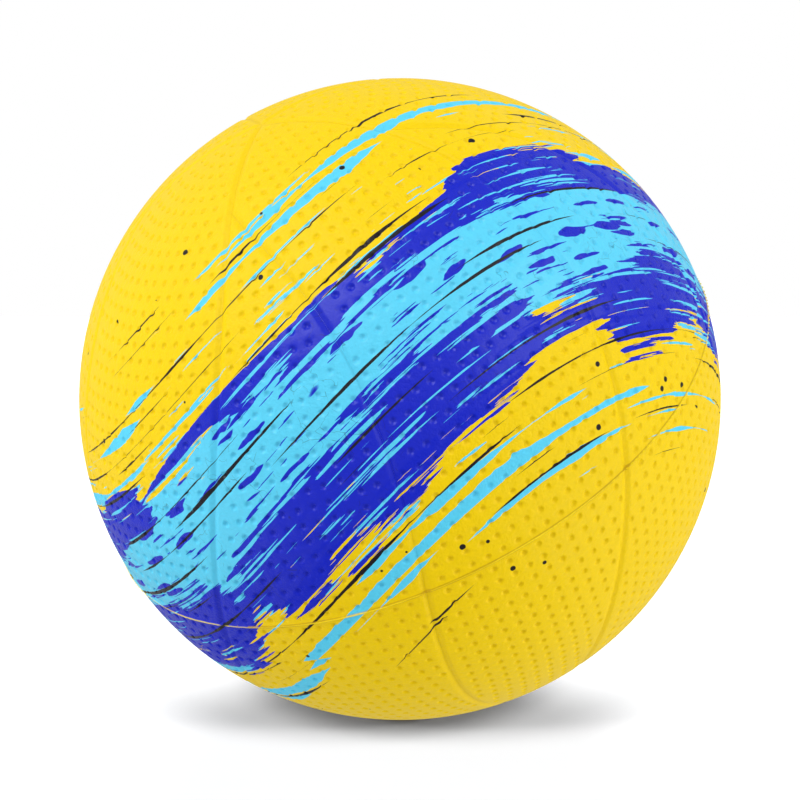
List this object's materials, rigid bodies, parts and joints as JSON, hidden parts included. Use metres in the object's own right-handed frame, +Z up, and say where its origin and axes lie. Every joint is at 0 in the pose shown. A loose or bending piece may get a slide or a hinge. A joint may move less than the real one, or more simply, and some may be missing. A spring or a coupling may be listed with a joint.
{
  "type": "volleyball",
  "caption": "Inflatable rubber volleyball: a dimpled cover of swirled panels over a gum layer, a nylon winding and a bladder, with a valve whose core pulls out.",
  "frame": {"origin": "middle of the ball", "axes": "+Z up, away from the ground that the ball stands on; +Y out of the valve, square to its face; the picture looks along +Y"},
  "size_m": [0.2099, 0.2099, 0.2099],
  "materials": {
    "cover_rubber": "satin moulded rubber with a transfer print",
    "gum_rubber": "plain gum rubber",
    "nylon_thread": "wound nylon thread",
    "butyl_rubber": "smooth butyl rubber",
    "valve_rubber": "matt moulded rubber",
    "core_rubber": "satin moulded rubber"
  },
  "bodies": {
    "ball": {"valve_panel": "cover_rubber", "cover_panel_1": "cover_rubber", "cover_panel_2": "cover_rubber", "cover_panel_3": "cover_rubber", "cover_panel_4": "cover_rubber", "cover_panel_5": "cover_rubber", "cover_panel_6": "cover_rubber", "cover_panel_7": "cover_rubber", "cover_panel_8": "cover_rubber", "cover_panel_9": "cover_rubber", "gum_layer": "gum_rubber", "nylon_winding": "nylon_thread", "bladder": "butyl_rubber", "valve_body": "valve_rubber"},
    "valve_core": {"valve_core": "core_rubber"}
  },
  "joints": [
    {"name": "valve_core_pull", "type": "slide", "parent": "ball", "child": "valve_core", "axis": [0, 1, 0], "range_m": [0, 0.024]}
  ]
}
